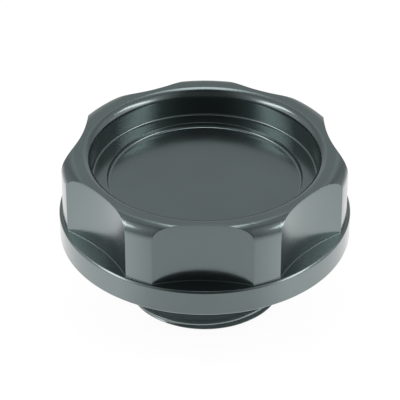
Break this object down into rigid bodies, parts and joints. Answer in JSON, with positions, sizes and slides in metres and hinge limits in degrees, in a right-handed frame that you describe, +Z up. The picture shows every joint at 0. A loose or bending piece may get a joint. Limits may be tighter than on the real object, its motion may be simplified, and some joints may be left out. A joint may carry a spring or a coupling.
{
  "type": "oil filler cap",
  "caption": "Screw-in oil filler cap with a scalloped round grip, a dished and stepped top, a flange, and a hollow threaded neck that carries a sealing ring.",
  "frame": {"origin": "on the cap's axis, at the lower end of the threaded neck, where the cap stands on a surface", "axes": "+Z up along the cap's axis, from the neck to the dished top; -Y through the middle of one scallop"},
  "size_m": [0.063, 0.063, 0.0352],
  "materials": {
    "anodised_body": "dark grey anodised over machined aluminium, satin gloss",
    "seal_rubber": "matt black moulded rubber"
  },
  "bodies": {
    "root": {"cap_body": "anodised_body", "seal_ring": "seal_rubber"}
  },
  "joints": []
}
